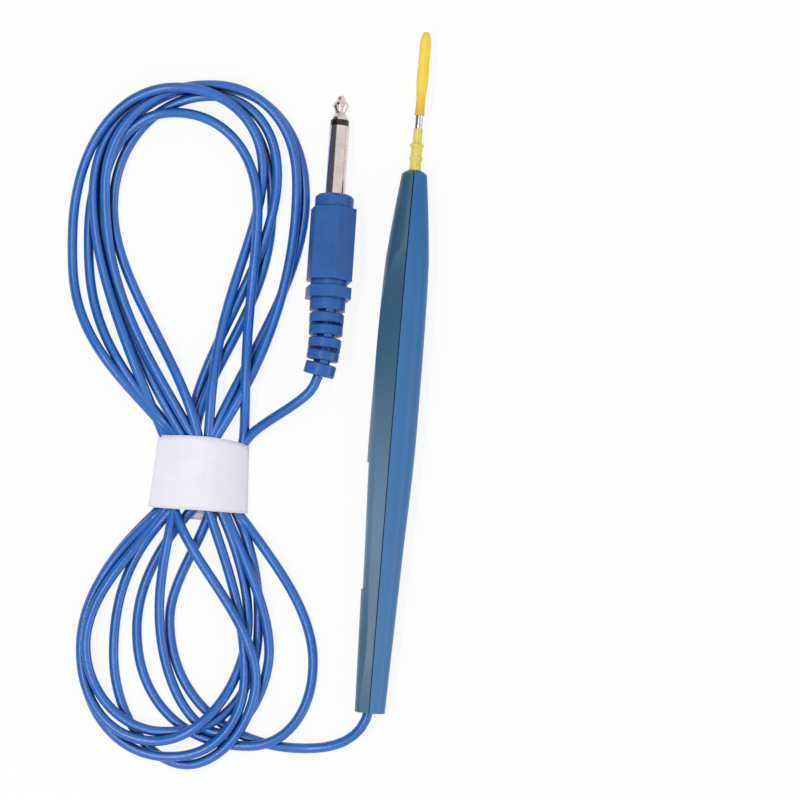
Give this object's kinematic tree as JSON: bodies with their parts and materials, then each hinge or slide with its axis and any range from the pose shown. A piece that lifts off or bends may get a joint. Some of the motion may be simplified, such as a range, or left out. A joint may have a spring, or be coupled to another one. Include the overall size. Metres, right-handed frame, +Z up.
{
  "type": "electrosurgical pencil",
  "caption": "Slim two-shell electrosurgical pencil with a covered blade electrode, its lead tied in a hank and ending in a round plug.",
  "frame": {"origin": "on the table under the middle of the pencil, from the tail to the tip of the electrode's cover", "axes": "+Y along the pencil from its tail to its tip, +Z up from the table it lies on, +X to the right seen from above"},
  "size_m": [0.1173, 0.2421, 0.0192],
  "materials": {
    "shell_teal": "satin moulded ABS",
    "shell_blue": "satin moulded ABS",
    "stainless": "bright drawn",
    "sleeve_yellow": "translucent pale yellow moulding",
    "cover_yellow": "soft bright yellow moulding",
    "brass": "turned, plain",
    "natural_nylon": "natural moulding",
    "shrink_black": "plain black",
    "copper": "bare stranded copper",
    "cord_blue": "satin soft jacket",
    "band_white": "thin white strip",
    "plug_blue": "satin moulding",
    "nickel": "nickel plated, polished",
    "washer_brown": "bonded paper washer"
  },
  "bodies": {
    "pencil": {"left_shell": "shell_teal", "right_shell": "shell_blue", "electrode_socket": "brass", "contact_ring": "stainless", "socket_collar": "natural_nylon", "crimp_ferrule": "brass", "ferrule_sleeve": "shrink_black", "handle_conductor": "copper", "cord_in_handle": "cord_blue", "cord_anchor": "stainless", "cord_tail": "cord_blue", "cord_hank": "cord_blue", "cord_lead": "cord_blue", "tie_band": "band_white", "plug_moulding": "plug_blue", "plug_barrel": "nickel", "plug_insulator_ring": "shrink_black", "plug_tip": "nickel", "plug_inner_tube": "natural_nylon", "plug_sleeve_tag": "brass", "plug_rear_washer": "washer_brown", "plug_tip_tag": "brass", "plug_conductor": "copper", "cord_in_plug": "cord_blue"},
    "electrode": {"electrode_blade": "stainless", "insulating_sleeve": "sleeve_yellow"},
    "cover": {"tip_cover": "cover_yellow"}
  },
  "joints": [
    {"name": "electrode_slide", "type": "slide", "parent": "pencil", "child": "electrode", "axis": [0, 1, 0], "range_m": [0, 0.026]},
    {"name": "cover_slide", "type": "slide", "parent": "electrode", "child": "cover", "axis": [0, 1, 0], "range_m": [0, 0.027]}
  ]
}
